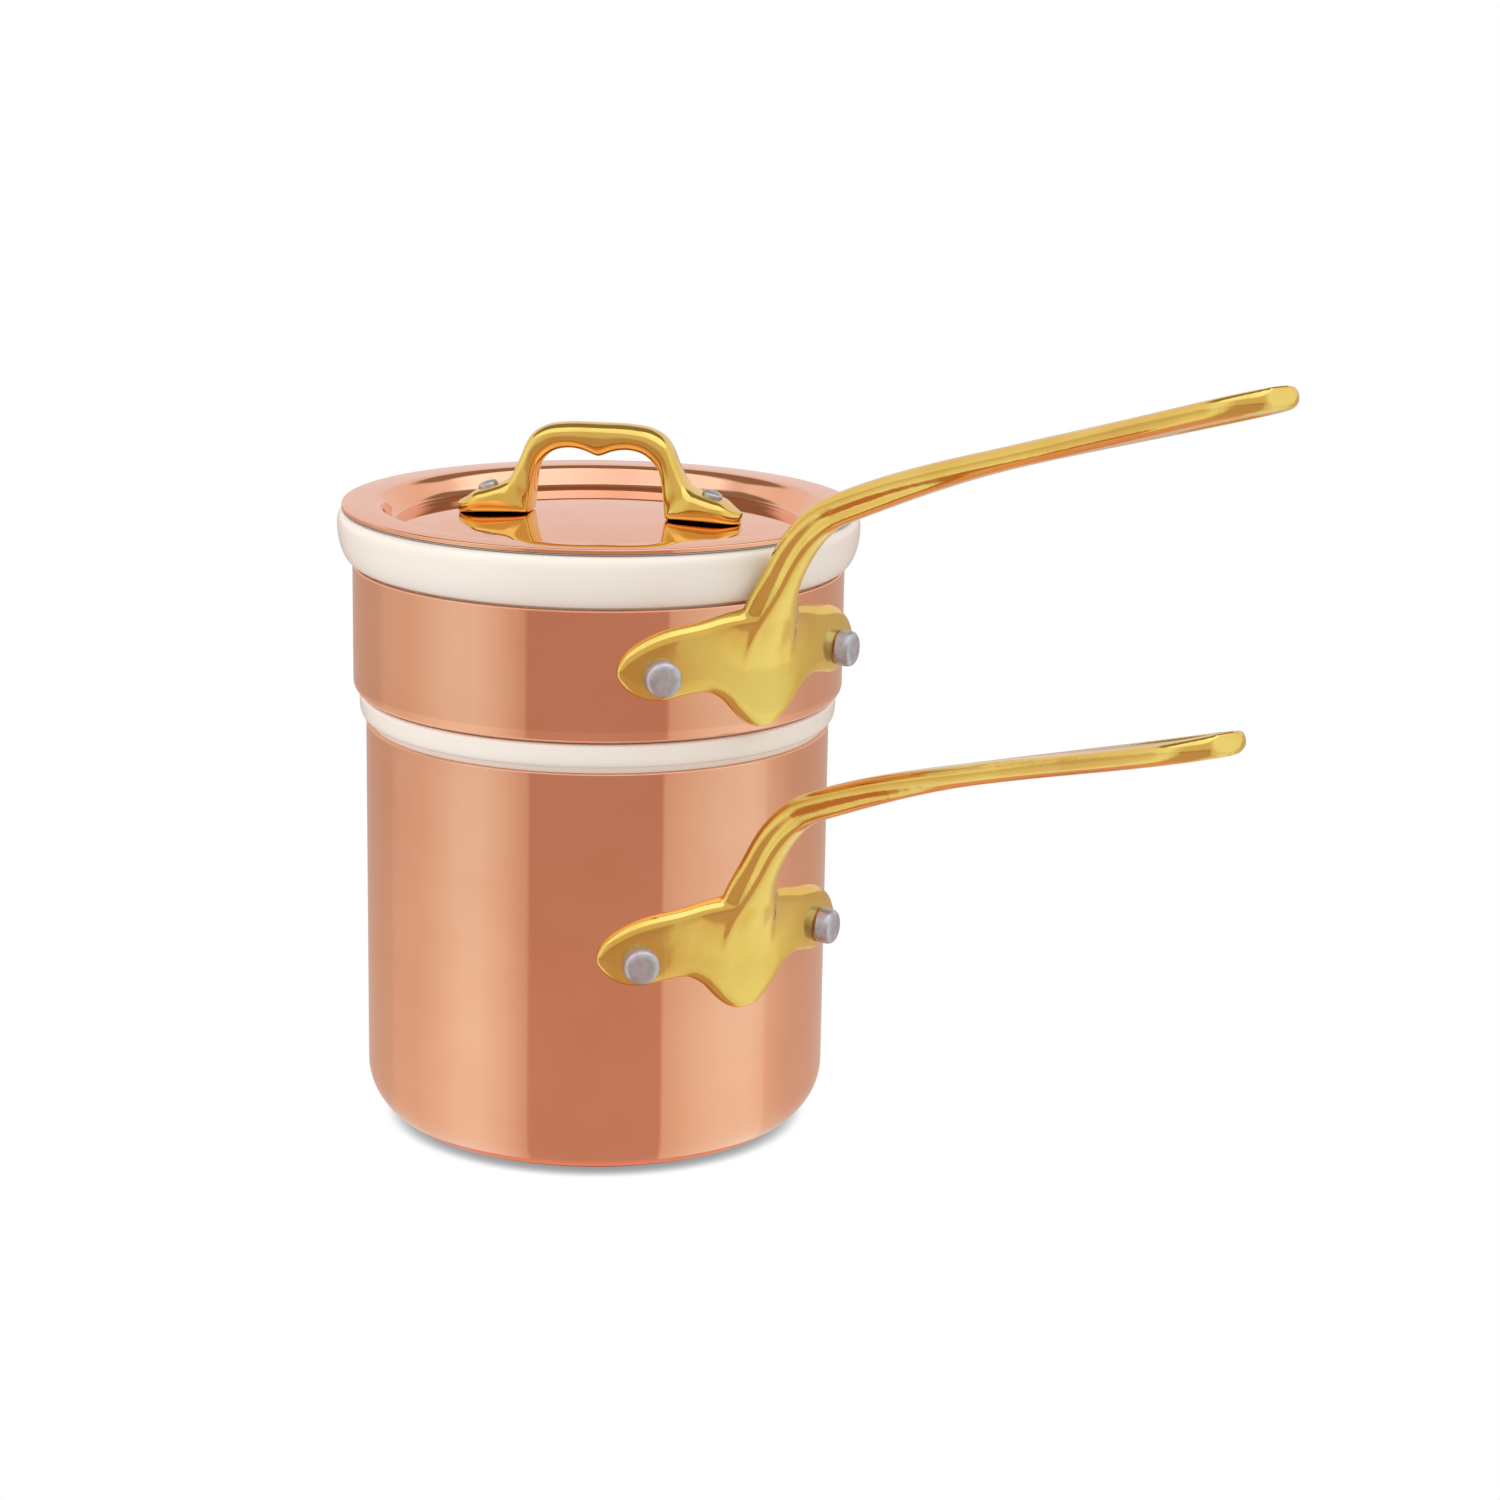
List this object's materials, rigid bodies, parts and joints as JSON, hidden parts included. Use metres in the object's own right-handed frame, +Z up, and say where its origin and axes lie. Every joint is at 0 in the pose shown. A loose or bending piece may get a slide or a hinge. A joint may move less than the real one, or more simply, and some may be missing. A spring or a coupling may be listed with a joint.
{
  "type": "double boiler",
  "caption": "Round copper pot with a porcelain insert in a copper collar, a copper lid with a loop handle, and long bronze handles with hanging eyes.",
  "frame": {"origin": "centre of the pot's flat base, on the surface it stands on", "axes": "+Z up along the pot's axis, +X from the axis towards the eye of the pot's handle"},
  "size_m": [0.3022, 0.1374, 0.2258],
  "materials": {
    "copper": "polished copper",
    "bronze": "polished cast bronze",
    "lining": "satin",
    "rivet": "satin",
    "porcelain": "gloss glaze"
  },
  "bodies": {
    "pot": {"pot_shell": "copper", "pot_lining": "lining", "pot_handle": "bronze", "pot_rivet_left": "rivet", "pot_rivet_right": "rivet"},
    "insert": {"porcelain_insert": "porcelain", "collar_band": "copper", "collar_handle": "bronze", "collar_rivet_left": "rivet", "collar_rivet_right": "rivet"},
    "lid": {"lid_shell": "copper", "lid_lining": "lining", "lid_handle": "bronze", "lid_rivet_left": "rivet", "lid_rivet_right": "rivet"}
  },
  "joints": [
    {"name": "insert_lift", "type": "slide", "parent": "pot", "child": "insert", "axis": [0, 0, 1], "range_m": [0, 0.1]},
    {"name": "lid_lift", "type": "slide", "parent": "insert", "child": "lid", "axis": [0, 0, 1], "range_m": [0, 0.06]}
  ]
}
